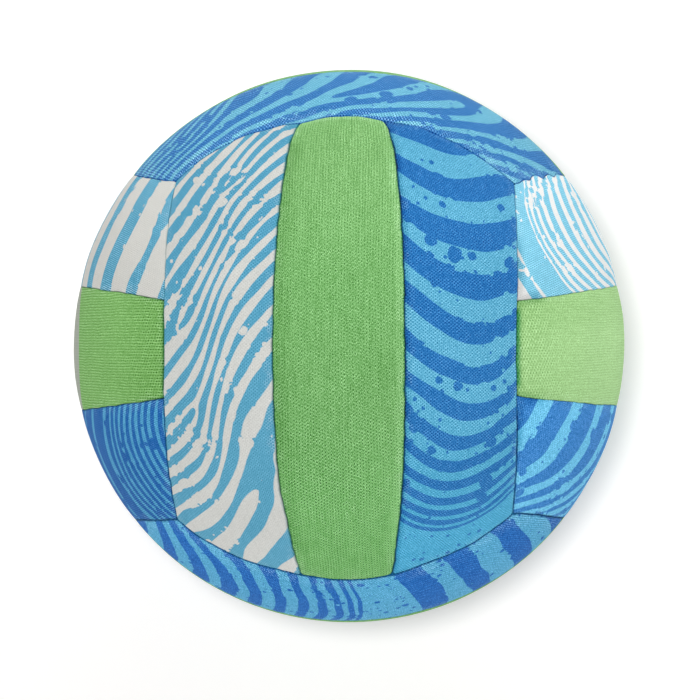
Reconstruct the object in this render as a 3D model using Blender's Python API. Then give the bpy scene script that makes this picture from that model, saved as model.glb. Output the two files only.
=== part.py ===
"""Sewn neoprene beach volleyball, 210 mm across.

Eighteen foam-backed knit panels in six groups of three strips, as on any
volleyball, are sewn inside out along turned-in lips. A thin rubber bladder sits
inside the cover, with a rubber valve whose stem comes out through the middle of
one green strip. The valve's plug pulls out along the valve's axis.

Metres, +Z up, origin at the ball's centre. +Z is the middle of the group called
top, whose strips run along Y.
"""

import math

import bmesh
import bpy
from mathutils import Matrix, Vector

# ---------------------------------------------------------------- dimensions
BALL_R = 0.105            # outside radius of the cover
PANEL_T = 0.0035          # neoprene laminate, foam and knit face together
FOLD_R = 0.0024           # rounding where a panel turns into its seam
SEAM_HALF_GAP = 0.0002    # half of the slit between two panels at the fold
LIP_DEPTH = 0.0062        # how far the sewn lips reach below the outside
LIP_T = 0.0024            # thickness of a lip, foam squeezed by the stitches
LIP_SPLAY = 0.0010        # the lips open by this much at their free edge
SEAM_DIP = 0.0004         # the cover sinks a little towards a seam

OUTER_DEG = 37.3          # long outer seam of a group, seen from the ball's centre
INNER_DEG = 12.9          # seam between the green strip and its neighbour
INNER_END = 0.162         # where that seam meets the next group, in ball radii
CORNER = 1 / math.sqrt(3)  # three groups meet at the corners of a cube

SIDE_COLUMNS, MIDDLE_COLUMNS = 4, 4

THREAD_R = 0.0004         # polyester sewing thread, as the chain it makes
THREAD_DEPTH = 0.0047
THREAD_END_GAP = 0.0020   # a seam's thread stops this far before the next one

BLADDER_R = 0.0984        # outside of the rubber bladder
BLADDER_T = 0.0009
BLADDER_MOUTH_R = 0.0053
BLADDER_RINGS, BLADDER_SIDES = 14, 24

VALVE_HOLE_R = 0.0060     # hole through the green panel
VALVE_SIDES = 24
VALVE_FACE = 0.1042       # the valve's flat face, from the ball's centre
VALVE_STEM_R = 0.0056
VALVE_FLANGE_R = 0.0130
VALVE_FLANGE = (0.0989, 0.1001)
VALVE_TUBE_R = 0.0046
VALVE_TUBE_END = 0.0880
VALVE_BORE_R = 0.0026
PLUG_SEAT_R, PLUG_SEAT = 0.0040, 0.1022
PLUG_HEAD_R, PLUG_TOP, PLUG_HEAD = 0.0036, 0.1039, 0.1026
PLUG_STEM_R, PLUG_END = 0.0022, 0.0896
NEEDLE_R, NEEDLE_END = 0.0007, 0.0930

# ---------------------------------------------------------------- clean slate
for old in list(bpy.data.objects):
    bpy.data.objects.remove(old, do_unlink=True)


def material(name, colour, roughness):
    made = bpy.data.materials.new(name)
    made.use_nodes = True
    shader = made.node_tree.nodes["Principled BSDF"]
    shader.inputs["Base Color"].default_value = (*colour, 1)
    shader.inputs["Roughness"].default_value = roughness
    shader.inputs["Metallic"].default_value = 0.0
    return made


GREEN_KNIT = material("green_knit", (0.19, 0.47, 0.13), 0.85)
WHITE_KNIT = material("white_print_knit", (0.42, 0.62, 0.72), 0.85)
BLUE_KNIT = material("blue_print_knit", (0.06, 0.30, 0.62), 0.85)
THREAD = material("thread", (0.05, 0.25, 0.40), 0.7)
BLADDER_RUBBER = material("bladder_rubber", (0.03, 0.03, 0.035), 0.55)
VALVE_RUBBER = material("valve_rubber", (0.02, 0.02, 0.022), 0.5)
PLUG_RUBBER = material("plug_rubber", (0.05, 0.05, 0.055), 0.45)


def add_object(name, mesh, surface, matrix=None, parent=None):
    obj = bpy.data.objects.new(name, mesh)
    bpy.context.scene.collection.objects.link(obj)
    if not mesh.materials:
        mesh.materials.append(surface)
    obj.material_slots[0].link = "OBJECT"
    obj.material_slots[0].material = surface
    if parent is not None:
        obj.parent = parent
    if matrix is not None:
        obj.matrix_local = matrix
    return obj


# ------------------------------------------------- the seams on a unit sphere
# Directions for the group at +Z: X across the strips, Y along them.
class Arc:
    """The circle arc through a middle point (x, 0, z) and a pair of ends (x, +-y, z)."""

    def __init__(self, middle, end):
        across = Vector((end.x - middle.x, end.z - middle.z)).normalized()
        normal = Vector((-across.y, across.x))
        self.offset = normal * normal.dot(Vector((middle.x, middle.z)))
        self.radius = math.sqrt(1 - self.offset.length_squared)
        if across.dot(Vector((middle.x, middle.z))) < 0:
            across = -across
        self.across = across
        self.half = math.atan2(end.y, across.dot(Vector((end.x, end.z))))

    def at(self, q):
        """A point of the arc, q from -1 to 1 along it."""
        a = self.half * q
        flat = self.offset + self.across * (self.radius * math.cos(a))
        return Vector((flat.x, self.radius * math.sin(a), flat.y))

    def length(self):
        return self.half * self.radius * BALL_R


def on_equator(degrees):
    a = math.radians(degrees)
    return Vector((math.sin(a), 0, math.cos(a)))


OUTER_SEAM = Arc(on_equator(OUTER_DEG), Vector((CORNER, CORNER, CORNER)))


def end_seam(x):
    """Where the strips end: the outer seam of the next group, turned by a third of a turn about (1, 1, 1)."""
    q = math.asin(x / OUTER_SEAM.radius) / OUTER_SEAM.half
    p = OUTER_SEAM.at(q)
    return Vector((p.y, p.z, p.x))


def spread(start, stop, count):
    return [start + (stop - start) * i / count for i in range(count + 1)]


# Stations along a strip match the columns of the three strips across its end.
STATIONS = (
    spread(-CORNER, -INNER_END, SIDE_COLUMNS)[:-1]
    + spread(-INNER_END, INNER_END, MIDDLE_COLUMNS)
    + spread(INNER_END, CORNER, SIDE_COLUMNS)[1:]
)
ROWS = [math.asin(y / OUTER_SEAM.radius) / OUTER_SEAM.half for y in STATIONS]


class Strip:
    """One panel's patch of the sphere: p from 0 to 1 across it, q from -1 to 1 along it."""

    def __init__(self, degrees, ends, columns):
        self.degrees, self.ends, self.columns = degrees, ends, columns

    def arc(self, p):
        (d0, d1), (x0, x1) = self.degrees, self.ends
        return Arc(on_equator(d0 + (d1 - d0) * p), end_seam(x0 + (x1 - x0) * p))

    def at(self, p, q, inset):
        """The direction at (p, q) of the patch drawn in by inset metres on every side."""
        width = (self.arc(0).at(q) - self.arc(1).at(q)).length * BALL_R
        dp = inset / width
        p = dp + p * (1 - 2 * dp)
        arc = self.arc(p)
        return arc.at(q * (1 - inset / arc.length())).normalized()


SIDE = Strip((INNER_DEG, OUTER_DEG), (INNER_END, CORNER), SIDE_COLUMNS)
MIDDLE = Strip((-INNER_DEG, INNER_DEG), (-INNER_END, INNER_END), MIDDLE_COLUMNS)


def panel_mesh(name, strip):
    """A panel: a domed sheet of even thickness whose edges fold down into lips all round."""
    ps = spread(0, 1, strip.columns)
    bm = bmesh.new()

    def grid(inset, radius):
        return [
            [bm.verts.new(strip.at(p, q, inset) * radius) for q in ROWS] for p in ps
        ]

    def rim_places():
        last_p, last_q = len(ps) - 1, len(ROWS) - 1
        return (
            [(i, 0) for i in range(last_p)]
            + [(last_p, j) for j in range(last_q)]
            + [(i, last_q) for i in range(last_p, 0, -1)]
            + [(0, j) for j in range(last_q, 0, -1)]
        )

    def ring(inset, radius):
        return [
            bm.verts.new(strip.at(ps[i], ROWS[j], inset) * radius)
            for i, j in rim_places()
        ]

    def bridge(outer, inner):
        n = len(outer)
        for k in range(n):
            m = (k + 1) % n
            bm.faces.new((outer[k], outer[m], inner[m], inner[k]))

    def fill(points, flip):
        for i in range(len(points) - 1):
            for j in range(len(points[0]) - 1):
                corners = (
                    points[i][j],
                    points[i + 1][j],
                    points[i + 1][j + 1],
                    points[i][j + 1],
                )
                bm.faces.new(tuple(reversed(corners)) if flip else corners)

    gap = SEAM_HALF_GAP
    top = grid(gap + FOLD_R, BALL_R)
    for i, j in rim_places():
        top[i][j].co *= (BALL_R - SEAM_DIP) / BALL_R
    under = grid(gap + LIP_T + 0.0003, BALL_R - PANEL_T)
    top_rim = [top[i][j] for i, j in rim_places()]
    under_rim = [under[i][j] for i, j in rim_places()]
    shoulder = ring(gap + 0.3 * FOLD_R, BALL_R - SEAM_DIP - 0.286 * FOLD_R)
    fold = ring(gap, BALL_R - SEAM_DIP - FOLD_R)
    lip_out = ring(gap + LIP_SPLAY, BALL_R - LIP_DEPTH)
    lip_in = ring(gap + LIP_SPLAY + LIP_T, BALL_R - LIP_DEPTH)
    fill(top, False)
    fill(under, True)
    chain = [under_rim, lip_in, lip_out, fold, shoulder, top_rim]
    for a, b in zip(chain, chain[1:]):
        bridge(a, b)
    bmesh.ops.recalc_face_normals(bm, faces=bm.faces)
    mesh = bpy.data.meshes.new(name)
    bm.to_mesh(mesh)
    bm.free()
    mesh.shade_smooth()
    mesh.set_sharp_from_angle(angle=math.radians(35))
    return mesh


# ------------------------------------------------------------------ placement
THIRD_TURN = Matrix(((0, 0, 1), (1, 0, 0), (0, 1, 0))).to_4x4()  # X to Y, Y to Z, Z to X
HALF_X = Matrix.Rotation(math.pi, 4, "X")
HALF_Y = Matrix.Rotation(math.pi, 4, "Y")
HALF_Z = Matrix.Rotation(math.pi, 4, "Z")
GROUPS = {
    # group: (turn of the +Z group, is the blue strip on the +X side of that group)
    "top": (Matrix.Identity(4), True),
    "bottom": (HALF_Y, True),
    "right": (THIRD_TURN, False),
    "left": (HALF_Z @ THIRD_TURN, True),
    "back": (THIRD_TURN @ THIRD_TURN, True),
    "front": (HALF_X @ THIRD_TURN @ THIRD_TURN, False),
}

cover = bpy.data.objects.new("cover", None)
bpy.context.scene.collection.objects.link(cover)

side_mesh = panel_mesh("side_panel", SIDE)
middle_mesh = panel_mesh("middle_panel", MIDDLE)

for group, (turn, blue_first) in GROUPS.items():
    first, second = ("blue", "white") if blue_first else ("white", "blue")
    surfaces = {"blue": BLUE_KNIT, "white": WHITE_KNIT}
    add_object(f"panel_{group}_{first}", side_mesh, surfaces[first], turn, cover)
    add_object(
        f"panel_{group}_{second}", side_mesh, surfaces[second], turn @ HALF_Z, cover
    )
    mesh = middle_mesh.copy() if group == "front" else middle_mesh
    add_object(f"panel_{group}_green", mesh, GREEN_KNIT, turn, cover)

# -------------------------------------------------------------- seam threads
stitching = bpy.data.objects.new("stitching", None)
bpy.context.scene.collection.objects.link(stitching)


def thread_curve(name, arc, surface=THREAD):
    """The sewing thread of one seam, lying between the two lips."""
    radius = BALL_R - THREAD_DEPTH
    trim = 1 - THREAD_END_GAP / arc.length()
    curve = bpy.data.curves.new(name, "CURVE")
    curve.dimensions = "3D"
    curve.bevel_depth = THREAD_R
    curve.bevel_resolution = 1
    curve.use_fill_caps = True
    line = curve.splines.new("POLY")
    line.points.add(len(ROWS) - 1)
    for point, q in zip(line.points, ROWS):
        point.co = (*(arc.at(q * trim).normalized() * radius), 1)
    curve.materials.append(surface)
    return curve


outer_thread = thread_curve("outer_thread", OUTER_SEAM)
inner_thread = thread_curve("inner_thread", MIDDLE.arc(1))
NEIGHBOURS = {
    # group: (group beyond its +X side, group beyond its -X side), before its turn
    "top": ("right", "left"),
    "bottom": ("left", "right"),
    "right": ("back", "front"),
    "left": ("front", "back"),
    "back": ("top", "bottom"),
    "front": ("bottom", "top"),
}


def add_thread(name, curve, turn):
    obj = bpy.data.objects.new(name, curve)
    bpy.context.scene.collection.objects.link(obj)
    obj.parent = stitching
    obj.matrix_local = turn
    return obj


for group, (turn, blue_first) in GROUPS.items():
    first, second = ("blue", "white") if blue_first else ("white", "blue")
    beyond_first, beyond_second = NEIGHBOURS[group]
    add_thread(f"thread_{group}_{beyond_first}", outer_thread, turn)
    add_thread(f"thread_{group}_{beyond_second}", outer_thread, turn @ HALF_Z)
    add_thread(f"thread_{group}_green_{first}", inner_thread, turn)
    add_thread(f"thread_{group}_green_{second}", inner_thread, turn @ HALF_Z)


# ---------------------------------------------------------- bladder and valve
def lathe(name, profile, sides):
    """A closed profile of (radius, height) turned about Z. A radius of 0 is a single point on the axis."""
    bm = bmesh.new()
    rings = []
    for r, h in profile:
        if r == 0:
            rings.append([bm.verts.new((0, 0, h))])
        else:
            rings.append(
                [
                    bm.verts.new(
                        (
                            r * math.cos(2 * math.pi * k / sides),
                            r * math.sin(2 * math.pi * k / sides),
                            h,
                        )
                    )
                    for k in range(sides)
                ]
            )
    pairs = list(zip(rings, rings[1:]))
    if profile[0][0] != 0:
        pairs.append((rings[-1], rings[0]))
    for a, b in pairs:
        for k in range(sides):
            m = (k + 1) % sides
            if len(a) == 1:
                bm.faces.new((a[0], b[m], b[k]))
            elif len(b) == 1:
                bm.faces.new((a[k], a[m], b[0]))
            else:
                bm.faces.new((a[k], a[m], b[m], b[k]))
    bmesh.ops.recalc_face_normals(bm, faces=bm.faces)
    mesh = bpy.data.meshes.new(name)
    bm.to_mesh(mesh)
    bm.free()
    mesh.shade_smooth()
    mesh.set_sharp_from_angle(angle=math.radians(35))
    return mesh


# The valve's own frame has +Z out of the ball; it looks out along -Y.
valve_axis = bpy.data.objects.new("valve_axis", None)
bpy.context.scene.collection.objects.link(valve_axis)
valve_axis.rotation_euler = (math.pi / 2, 0, 0)

mouth = math.asin(BLADDER_MOUTH_R / BLADDER_R)
turns = [mouth + (math.pi - mouth) * i / BLADDER_RINGS for i in range(BLADDER_RINGS)]
inside = BLADDER_R - BLADDER_T
bladder_profile = (
    [(0, -inside)]
    + [(inside * math.sin(a), inside * math.cos(a)) for a in reversed(turns)]
    + [(BLADDER_R * math.sin(a), BLADDER_R * math.cos(a)) for a in turns]
    + [(0, -BLADDER_R)]
)
add_object(
    "bladder",
    lathe("bladder", bladder_profile, BLADDER_SIDES),
    BLADDER_RUBBER,
    parent=valve_axis,
)

flange_low, flange_high = VALVE_FLANGE
valve_profile = [
    (VALVE_BORE_R, VALVE_TUBE_END),
    (VALVE_TUBE_R, VALVE_TUBE_END),
    (VALVE_TUBE_R, flange_low),
    (VALVE_FLANGE_R, flange_low),
    (VALVE_FLANGE_R, flange_high),
    (VALVE_STEM_R, flange_high),
    (VALVE_STEM_R, VALVE_FACE),
    (PLUG_SEAT_R, VALVE_FACE),
    (PLUG_SEAT_R, PLUG_SEAT),
    (VALVE_BORE_R, PLUG_SEAT),
]
add_object(
    "valve_body",
    lathe("valve_body", valve_profile, VALVE_SIDES),
    VALVE_RUBBER,
    parent=valve_axis,
)

plug_profile = [
    (0, NEEDLE_END),
    (NEEDLE_R, NEEDLE_END),
    (NEEDLE_R, PLUG_TOP - 0.0008),
    (NEEDLE_R * 2, PLUG_TOP),
    (PLUG_HEAD_R, PLUG_TOP),
    (PLUG_HEAD_R, PLUG_HEAD),
    (PLUG_STEM_R, PLUG_HEAD),
    (PLUG_STEM_R, PLUG_END),
    (0, PLUG_END),
]
add_object(
    "valve_plug",
    lathe("valve_plug", plug_profile, VALVE_SIDES),
    PLUG_RUBBER,
    parent=valve_axis,
)

# The hole for the valve's stem in the middle of the front green panel.
cutter = add_object(
    "valve_hole_cutter",
    lathe(
        "valve_hole_cutter",
        [(0, 0.09), (VALVE_HOLE_R, 0.09), (VALVE_HOLE_R, 0.12), (0, 0.12)],
        VALVE_SIDES,
    ),
    VALVE_RUBBER,
    parent=valve_axis,
)
cutter.hide_render = True
cutter.display_type = "WIRE"
hole = bpy.data.objects["panel_front_green"].modifiers.new("valve_hole", "BOOLEAN")
hole.operation = "DIFFERENCE"
hole.solver = "EXACT"
hole.object = cutter
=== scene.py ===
"""Looks of the sewn neoprene beach volleyball: knit panels with tight rolled seams, striped prints, valve, floor and light."""

import math

import bmesh
import bpy
import numpy as np
from mathutils import Matrix, Vector


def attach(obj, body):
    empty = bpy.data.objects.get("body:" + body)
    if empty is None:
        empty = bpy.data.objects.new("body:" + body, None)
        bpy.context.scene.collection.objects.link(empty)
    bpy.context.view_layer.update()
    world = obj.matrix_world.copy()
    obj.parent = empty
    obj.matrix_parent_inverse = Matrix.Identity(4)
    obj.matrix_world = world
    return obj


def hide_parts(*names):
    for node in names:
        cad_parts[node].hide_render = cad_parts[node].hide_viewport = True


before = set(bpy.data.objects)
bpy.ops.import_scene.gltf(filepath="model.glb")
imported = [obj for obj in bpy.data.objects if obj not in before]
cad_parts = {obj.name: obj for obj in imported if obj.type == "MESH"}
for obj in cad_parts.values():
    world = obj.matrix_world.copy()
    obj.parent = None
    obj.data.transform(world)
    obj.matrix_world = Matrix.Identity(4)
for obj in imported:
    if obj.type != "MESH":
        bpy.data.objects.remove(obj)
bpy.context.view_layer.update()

MM = 0.001
TAU = 2 * math.pi

# ---------------------------------------------------------------- dimensions
BALL_R = 0.105
OUTER_DEG, INNER_DEG, INNER_END = 37.3, 12.9, 0.162
CORNER = 1 / math.sqrt(3)

PANEL_T = 3.5 * MM        # neoprene and knit face together
FOLD_R = 0.42 * MM        # rounding where the cloth turns into a seam
TIGHT = {"right": 0.45, "left": 0.6}   # these groups' seams are drawn tighter
HALF_GAP = 0.07 * MM      # half of the slit between two panels
WALL_DEPTH = 3.0 * MM     # the panels press together down to here
LIP_DEPTH = 6.2 * MM      # free edge of the sewn lips
LIP_SPLAY = 1.0 * MM
LIP_T = 2.4 * MM
SEAM_DIP = 0.20 * MM      # the cover sinks towards a seam
SEAM_DIP_REACH = 4.5 * MM
STITCH = 4.2 * MM         # stitch length along every seam
PUCKER = 0.11 * MM
WAVER = 0.16 * MM
ROUND_GREEN, ROUND_SIDE = 1.6 * MM, 0.9 * MM   # corners of the panels
OVAL = np.array([0.9955, 1.0, 1.0])            # a soft ball is never quite round

CELL = 1.3 * MM           # size of the mesh's own squares away from the seams


# ------------------------------------------------- the seams on a unit sphere
# Directions for the group at +Z: X across the strips, Y along them.
def arc(mid_deg, end):
    """Circle arcs through a middle point on the equator y = 0 and through end and its mirror image, for arrays of both."""
    mid = np.stack([np.sin(np.radians(mid_deg)), np.cos(np.radians(mid_deg))], -1)
    flat_end = end[..., [0, 2]]
    across = flat_end - mid
    across = across / np.linalg.norm(across, axis=-1, keepdims=True)
    normal = np.stack([-across[..., 1], across[..., 0]], -1)
    offset = normal * (normal * mid).sum(-1, keepdims=True)
    radius = np.sqrt(1 - (offset**2).sum(-1))
    flip = np.sign((across * mid).sum(-1, keepdims=True))
    across = across * np.where(flip == 0, 1, flip)
    half = np.arctan2(end[..., 1], (across * flat_end).sum(-1))
    return offset, across, radius, half


def along(curve, q):
    """Points of such arcs, q from -1 to 1 along them."""
    offset, across, radius, half = curve
    a = half * q
    flat = offset + across * (radius * np.cos(a))[..., None]
    return np.stack([flat[..., 0], radius * np.sin(a), flat[..., 1]], -1)


OUTER = arc(np.array(OUTER_DEG), np.array([CORNER, CORNER, CORNER]))


def end_seam(x):
    """Where the strips end, by x: the outer seam of the next group, a third of a turn about (1, 1, 1) away."""
    q = np.arcsin(x / OUTER[2]) / OUTER[3]
    p = along(tuple(np.broadcast_to(a, np.shape(q) + np.shape(a)) for a in OUTER), q)
    return p[..., [1, 2, 0]]


def plane_of(curve):
    """Unit normal and offset of the plane of a single arc."""
    offset, across = curve[0], curve[1]
    normal = np.array([-across[1], 0, across[0]])
    c = offset[0] * normal[0] + offset[1] * normal[2]
    return normal, c


class Strip:
    """One panel's patch of the sphere: p from 0 to 1 across it, q from -1 to 1 along it."""

    def __init__(self, degrees, ends):
        self.degrees, self.ends = degrees, ends
        mid = math.radians(sum(degrees) / 2)
        self.centre = np.array([math.sin(mid), 0, math.cos(mid)])
        self.side = np.array([math.cos(mid), 0, -math.sin(mid)])
        seams = []
        for p in (0, 1):
            n, c = plane_of(self.curve(np.array(float(p))))
            seams.append((n, c, np.array([0.0, 1.0, 0.0])))
        n, c = plane_of(OUTER)
        seams.append((n[[1, 2, 0]], c, np.array([1.0, 0, 0])))
        seams.append((n[[1, 2, 0]] * np.array([1, -1, 1]), c, np.array([1.0, 0, 0])))
        self.seams = []
        for n, c, t in seams:
            if n @ self.centre < c:
                n, c = -n, -c
            self.seams.append((n, c, t))

    def curve(self, p):
        (d0, d1), (x0, x1) = self.degrees, self.ends
        return arc(d0 + (d1 - d0) * p, end_seam(x0 + (x1 - x0) * p))

    def at(self, p, q):
        return along(self.curve(p), q)

    def width(self, q):
        p0, p1 = np.zeros_like(q), np.ones_like(q)
        return np.linalg.norm(self.at(p0, q) - self.at(p1, q), axis=-1) * BALL_R

    def half_length(self, p):
        curve = self.curve(p)
        return curve[2] * curve[3] * BALL_R


SIDE = Strip((INNER_DEG, OUTER_DEG), (INNER_END, CORNER))
MIDDLE = Strip((-INNER_DEG, INNER_DEG), (-INNER_END, INNER_END))

THIRD_TURN = Matrix(((0, 0, 1), (1, 0, 0), (0, 1, 0))).to_4x4()
HALF_X = Matrix.Rotation(math.pi, 4, "X")
HALF_Y = Matrix.Rotation(math.pi, 4, "Y")
HALF_Z = Matrix.Rotation(math.pi, 4, "Z")
GROUPS = {
    "top": (Matrix.Identity(4), True),
    "bottom": (HALF_Y, True),
    "right": (THIRD_TURN, False),
    "left": (HALF_Z @ THIRD_TURN, True),
    "back": (THIRD_TURN @ THIRD_TURN, True),
    "front": (HALF_X @ THIRD_TURN @ THIRD_TURN, False),
}

EDGE_STEPS = HALF_GAP + MM * np.array(
    [0.0, 0.02, 0.06, 0.13, 0.23, 0.37, 0.55, 0.8, 1.2, 1.8, 2.7, 3.8]
)


def lines(length):
    """How many mesh lines a span gets: close together near both seams, even in between."""
    first = EDGE_STEPS[-1]
    count = max(4, round((length - 2 * first) / CELL))
    return len(EDGE_STEPS), count


def spaced(length, shape):
    """The same count of lines fitted to each of an array of lengths, as distances from the first seam."""
    edge, count = shape
    length = np.asarray(length)[..., None]
    first = EDGE_STEPS[-1]
    mid = first + (length - 2 * first) * np.arange(1, count) / count
    low = np.broadcast_to(EDGE_STEPS, length.shape[:-1] + (edge,))
    return np.concatenate([low, mid, (length - low)[..., ::-1]], -1)


def waves(count, low, high, seed):
    """A smooth, fixed mixture of plane waves over the ball, between about -1 and 1."""
    rng = np.random.default_rng(seed)
    k = rng.normal(size=(count, 3))
    k *= (rng.uniform(low, high, count) / np.linalg.norm(k, axis=1))[:, None]
    phase = rng.uniform(0, TAU, count)
    return lambda x: np.sin(x @ k.T + phase).sum(-1) * 1.4 / math.sqrt(count)


UNEVEN = waves(9, 20, 55, 3)
SOFT = waves(9, 6, 16, 5)
RIPPLE = waves(12, 60, 130, 8)


# Sewn seams wander: millimetres outwards from the middle of the group, at
# millimetres along the seam. The first side is the one at +X in the group's frame.
WANDER = {
    ("top", "outer", 0): [(-66, 0.4), (-50, 0.1), (-17, -1.2), (-4, -1.75), (10, -1.5), (30, 0), (51, 1.2), (66, 1.9)],
    ("top", "outer", 1): [(-66, 0.6), (-45, 0.7), (-17, 0), (0, -0.9), (18, -0.3), (46, 0.4), (66, 0.1)],
    ("top", "inner", 0): [(-94, 0.5), (-56, 0.2), (0, -0.35), (53, 0.2), (80, 0.1), (88, -0.6), (94, -2.2)],
    ("top", "inner", 1): [(-94, -1.7), (-75, -0.9), (-45, 0.2), (0, -0.15), (64, -0.2), (83, -0.3), (89, -1.0), (94, -2.4)],
    ("back", "inner", 0): [(-94, -5.0), (-60, -5.2), (-40, -4.3), (-8, -4.4), (58, -12.6), (94, -8.0)],
    ("front", "inner", 1): [(-94, -3.5), (-40, -4.6), (0, -3.0), (24, -2.7), (70, -7.0), (94, -6.0)],
    ("back", "outer", 0): [(-66, -0.2), (-53, -0.8), (-40, -0.5), (-25, 0.6), (-17, 1.7), (3, -0.4), (17, 0.5), (29, -0.3), (40, 0.3), (55, 0.75), (66, 0.15)],
    ("front", "outer", 1): [(-66, -1.9), (-58, -1.9), (-44, -0.8), (-31, 0.3), (-16, 0.7), (2, -0.05), (17, 0.2), (31, 1.6), (52, 0.8), (66, -0.15)],
    ("left", "inner", 1): [(10, 0), (94, 0.8)],
    ("left", "inner", 0): [(10, 0), (94, 0.3)],
    ("right", "inner", 0): [(-40, 0), (17, -0.95), (94, -0.85)],
    ("right", "inner", 1): [(-40, 0), (18, -0.75), (94, -0.1)],
    ("left", "outer", 1): [(-40, 0), (18, 1.4), (66, 0.1)],
    ("left", "outer", 0): [(-40, 0), (18, 1.3), (66, 1.3)],
    ("right", "outer", 0): [(-40, 0), (16, -0.6), (30, -0.1), (50, -0.1), (59, -0.8), (66, -2.5)],
    ("right", "outer", 1): [(-40, 0), (17, 0.9), (66, -1.1)],
}
# a gathered seam: the white strip is eased into it in scallops
SCALLOPS = {
    ("right", "outer", 0): [(10, 0), (18, 0.1), (24, -0.3), (29.5, 0.4), (34, -0.65), (38, 0.9), (40.5, 0.5), (44.5, -0.7), (49, 0.95), (51, 0.6), (55, -0.5), (59, 0.1), (63, 0)],
}


class Seam:
    """A seam of the whole ball, with the way it wanders."""

    def __init__(self, key, turn, mirror, curve):
        n, c = plane_of(curve)
        flip = np.array([-1 if mirror else 1, 1, 1])
        n = n * flip
        if n[0] * flip[0] < 0:
            n, c = -n, -c
        mid = along(curve, np.array(0.0)) * flip
        self.n, self.c = turn @ n, c
        self.t = turn @ np.array([0.0, 1.0, 0.0])
        b = np.cross(self.n, self.t)
        self.b = b * np.sign(b @ (turn @ mid))
        self.half = float(curve[2] * curve[3]) * BALL_R
        self.points = WANDER.get(key, [])
        self.scallops = SCALLOPS.get(key, [])

    def place(self, x):
        d = BALL_R * (np.arcsin(np.clip(x @ self.n, -1, 1)) - math.asin(self.c))
        s = BALL_R * math.sqrt(1 - self.c**2) * np.arctan2(x @ self.t, x @ self.b)
        return d, s


def eased(s, points):
    """Smooth steps through a list of (place, amount), both in millimetres, as metres."""
    at, amount = np.array(points).T * MM
    k = np.clip(np.searchsorted(at, s) - 1, 0, len(at) - 2)
    t = np.clip((s - at[k]) / (at[k + 1] - at[k]), 0, 1)
    return amount[k] + (amount[k + 1] - amount[k]) * t * t * (3 - 2 * t)


SEAMS = []
for group, (turn, _) in GROUPS.items():
    turn = np.array(turn.to_3x3())
    inner = tuple(np.squeeze(a) for a in MIDDLE.curve(np.array([1.0])))
    for kind, curve in (("outer", OUTER), ("inner", inner)):
        for side in (0, 1):
            SEAMS.append(Seam((group, kind, side), turn, side == 1, curve))


def wander(x):
    """Directions over the ball, moved with the seams near them, the same for both neighbours."""
    total = np.zeros_like(x)
    shake = WAVER * (0.55 * UNEVEN(x) + 0.45 * RIPPLE(x))
    for seam in SEAMS:
        d, s = seam.place(x)
        beyond = np.clip(np.abs(s) - seam.half, 0, None)
        ends = np.exp(-((beyond / (5 * MM)) ** 2))
        # three seams meet at every corner, and each gives its share there
        share = 1 - np.exp(-(((np.abs(s) - seam.half) / (9 * MM)) ** 2)) / 3
        amount = shake * np.exp(-((d / (3.0 * MM)) ** 2))
        if seam.points:
            amount = amount + eased(s, seam.points) * share * np.exp(-((d / (13 * MM)) ** 2))
        if seam.scallops:
            amount = amount + eased(s, seam.scallops) * np.exp(-((d / (4.5 * MM)) ** 2))
        across = seam.n - x * (x @ seam.n)[..., None]
        across /= np.linalg.norm(across, axis=-1, keepdims=True)
        total += across * (amount * ends / BALL_R)[..., None]
    moved = x + total
    return moved / np.linalg.norm(moved, axis=-1, keepdims=True)


def seam_distances(strip, x):
    """Distance over the ball to each of a panel's four seams, and the place along each, in metres."""
    ds, ss = [], []
    for n, c, t in strip.seams:
        ds.append(BALL_R * (np.arcsin(np.clip(x @ n, -1, 1)) - math.asin(c)))
        b = np.cross(n, t)
        reach = np.sign((strip.centre @ b)) or 1
        ss.append(
            BALL_R * math.sqrt(1 - c * c) * np.arctan2(x @ t, (x @ b) * reach)
        )
    return np.stack(ds, -1), np.stack(ss, -1)


def to_edge(d, rounding):
    """Distance to the outline of a panel with rounded corners, from the distances to its four seams."""
    across, ends = np.minimum(d[..., 0], d[..., 1]), np.minimum(d[..., 2], d[..., 3])
    qa, qe = rounding - across, rounding - ends
    corner = np.hypot(np.clip(qa, 0, None), np.clip(qe, 0, None))
    return rounding - corner - np.minimum(np.maximum(qa, qe), 0)


def fold_down(d, radius):
    """How far the rounded edge lies below the cover, d from the seam."""
    t = np.clip(1 - (d - HALF_GAP) / radius, 0, None)
    rolled = radius * (1 - np.sqrt(np.clip(1 - t * t, 0, 1)))
    return rolled + np.clip((t - 1) * radius * 2.2, 0, 1.8 * MM)


def surface(strip, x, turn, rounding, fold_r):
    """Places on the outer face, in the ball's frame: the unit directions x of one panel drawn to the sewn cover's shape."""
    d, s = seam_distances(strip, x)
    world = x @ turn.T
    near = np.clip(d, 0, None)
    edge = to_edge(d, rounding)
    uneven = np.clip(0.75 + 0.6 * UNEVEN(world), 0.1, 1.8)
    dip = SEAM_DIP * np.exp(-near / SEAM_DIP_REACH)
    stitch = 0.5 + 0.5 * np.cos(TAU * s / STITCH)
    pucker = PUCKER * stitch * uneven[..., None] * np.exp(-near / (2.0 * MM))
    fold = fold_down(edge, fold_r * (0.75 + 0.4 * uneven))
    sunk = fold + dip.max(-1) + 0.35 * (dip.sum(-1) - dip.max(-1)) + pucker.sum(-1)
    rough = 0.12 * MM * SOFT(world) * np.clip(near.min(-1) / (12 * MM), 0, 1)
    radius = BALL_R - np.clip(sunk, 0, 2.6 * MM) - 0.12 * MM + rough
    return wander(world) * radius[..., None] * OVAL, np.clip(edge, 0, None)


def place_on_cloth(strip, x):
    """Cloth coordinates in metres: across the strip from its middle, and along it."""
    u = BALL_R * np.arcsin(np.clip(x @ strip.side, -1, 1))
    v = BALL_R * np.arctan2(x[..., 1], x @ strip.centre)
    return u, v


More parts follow.
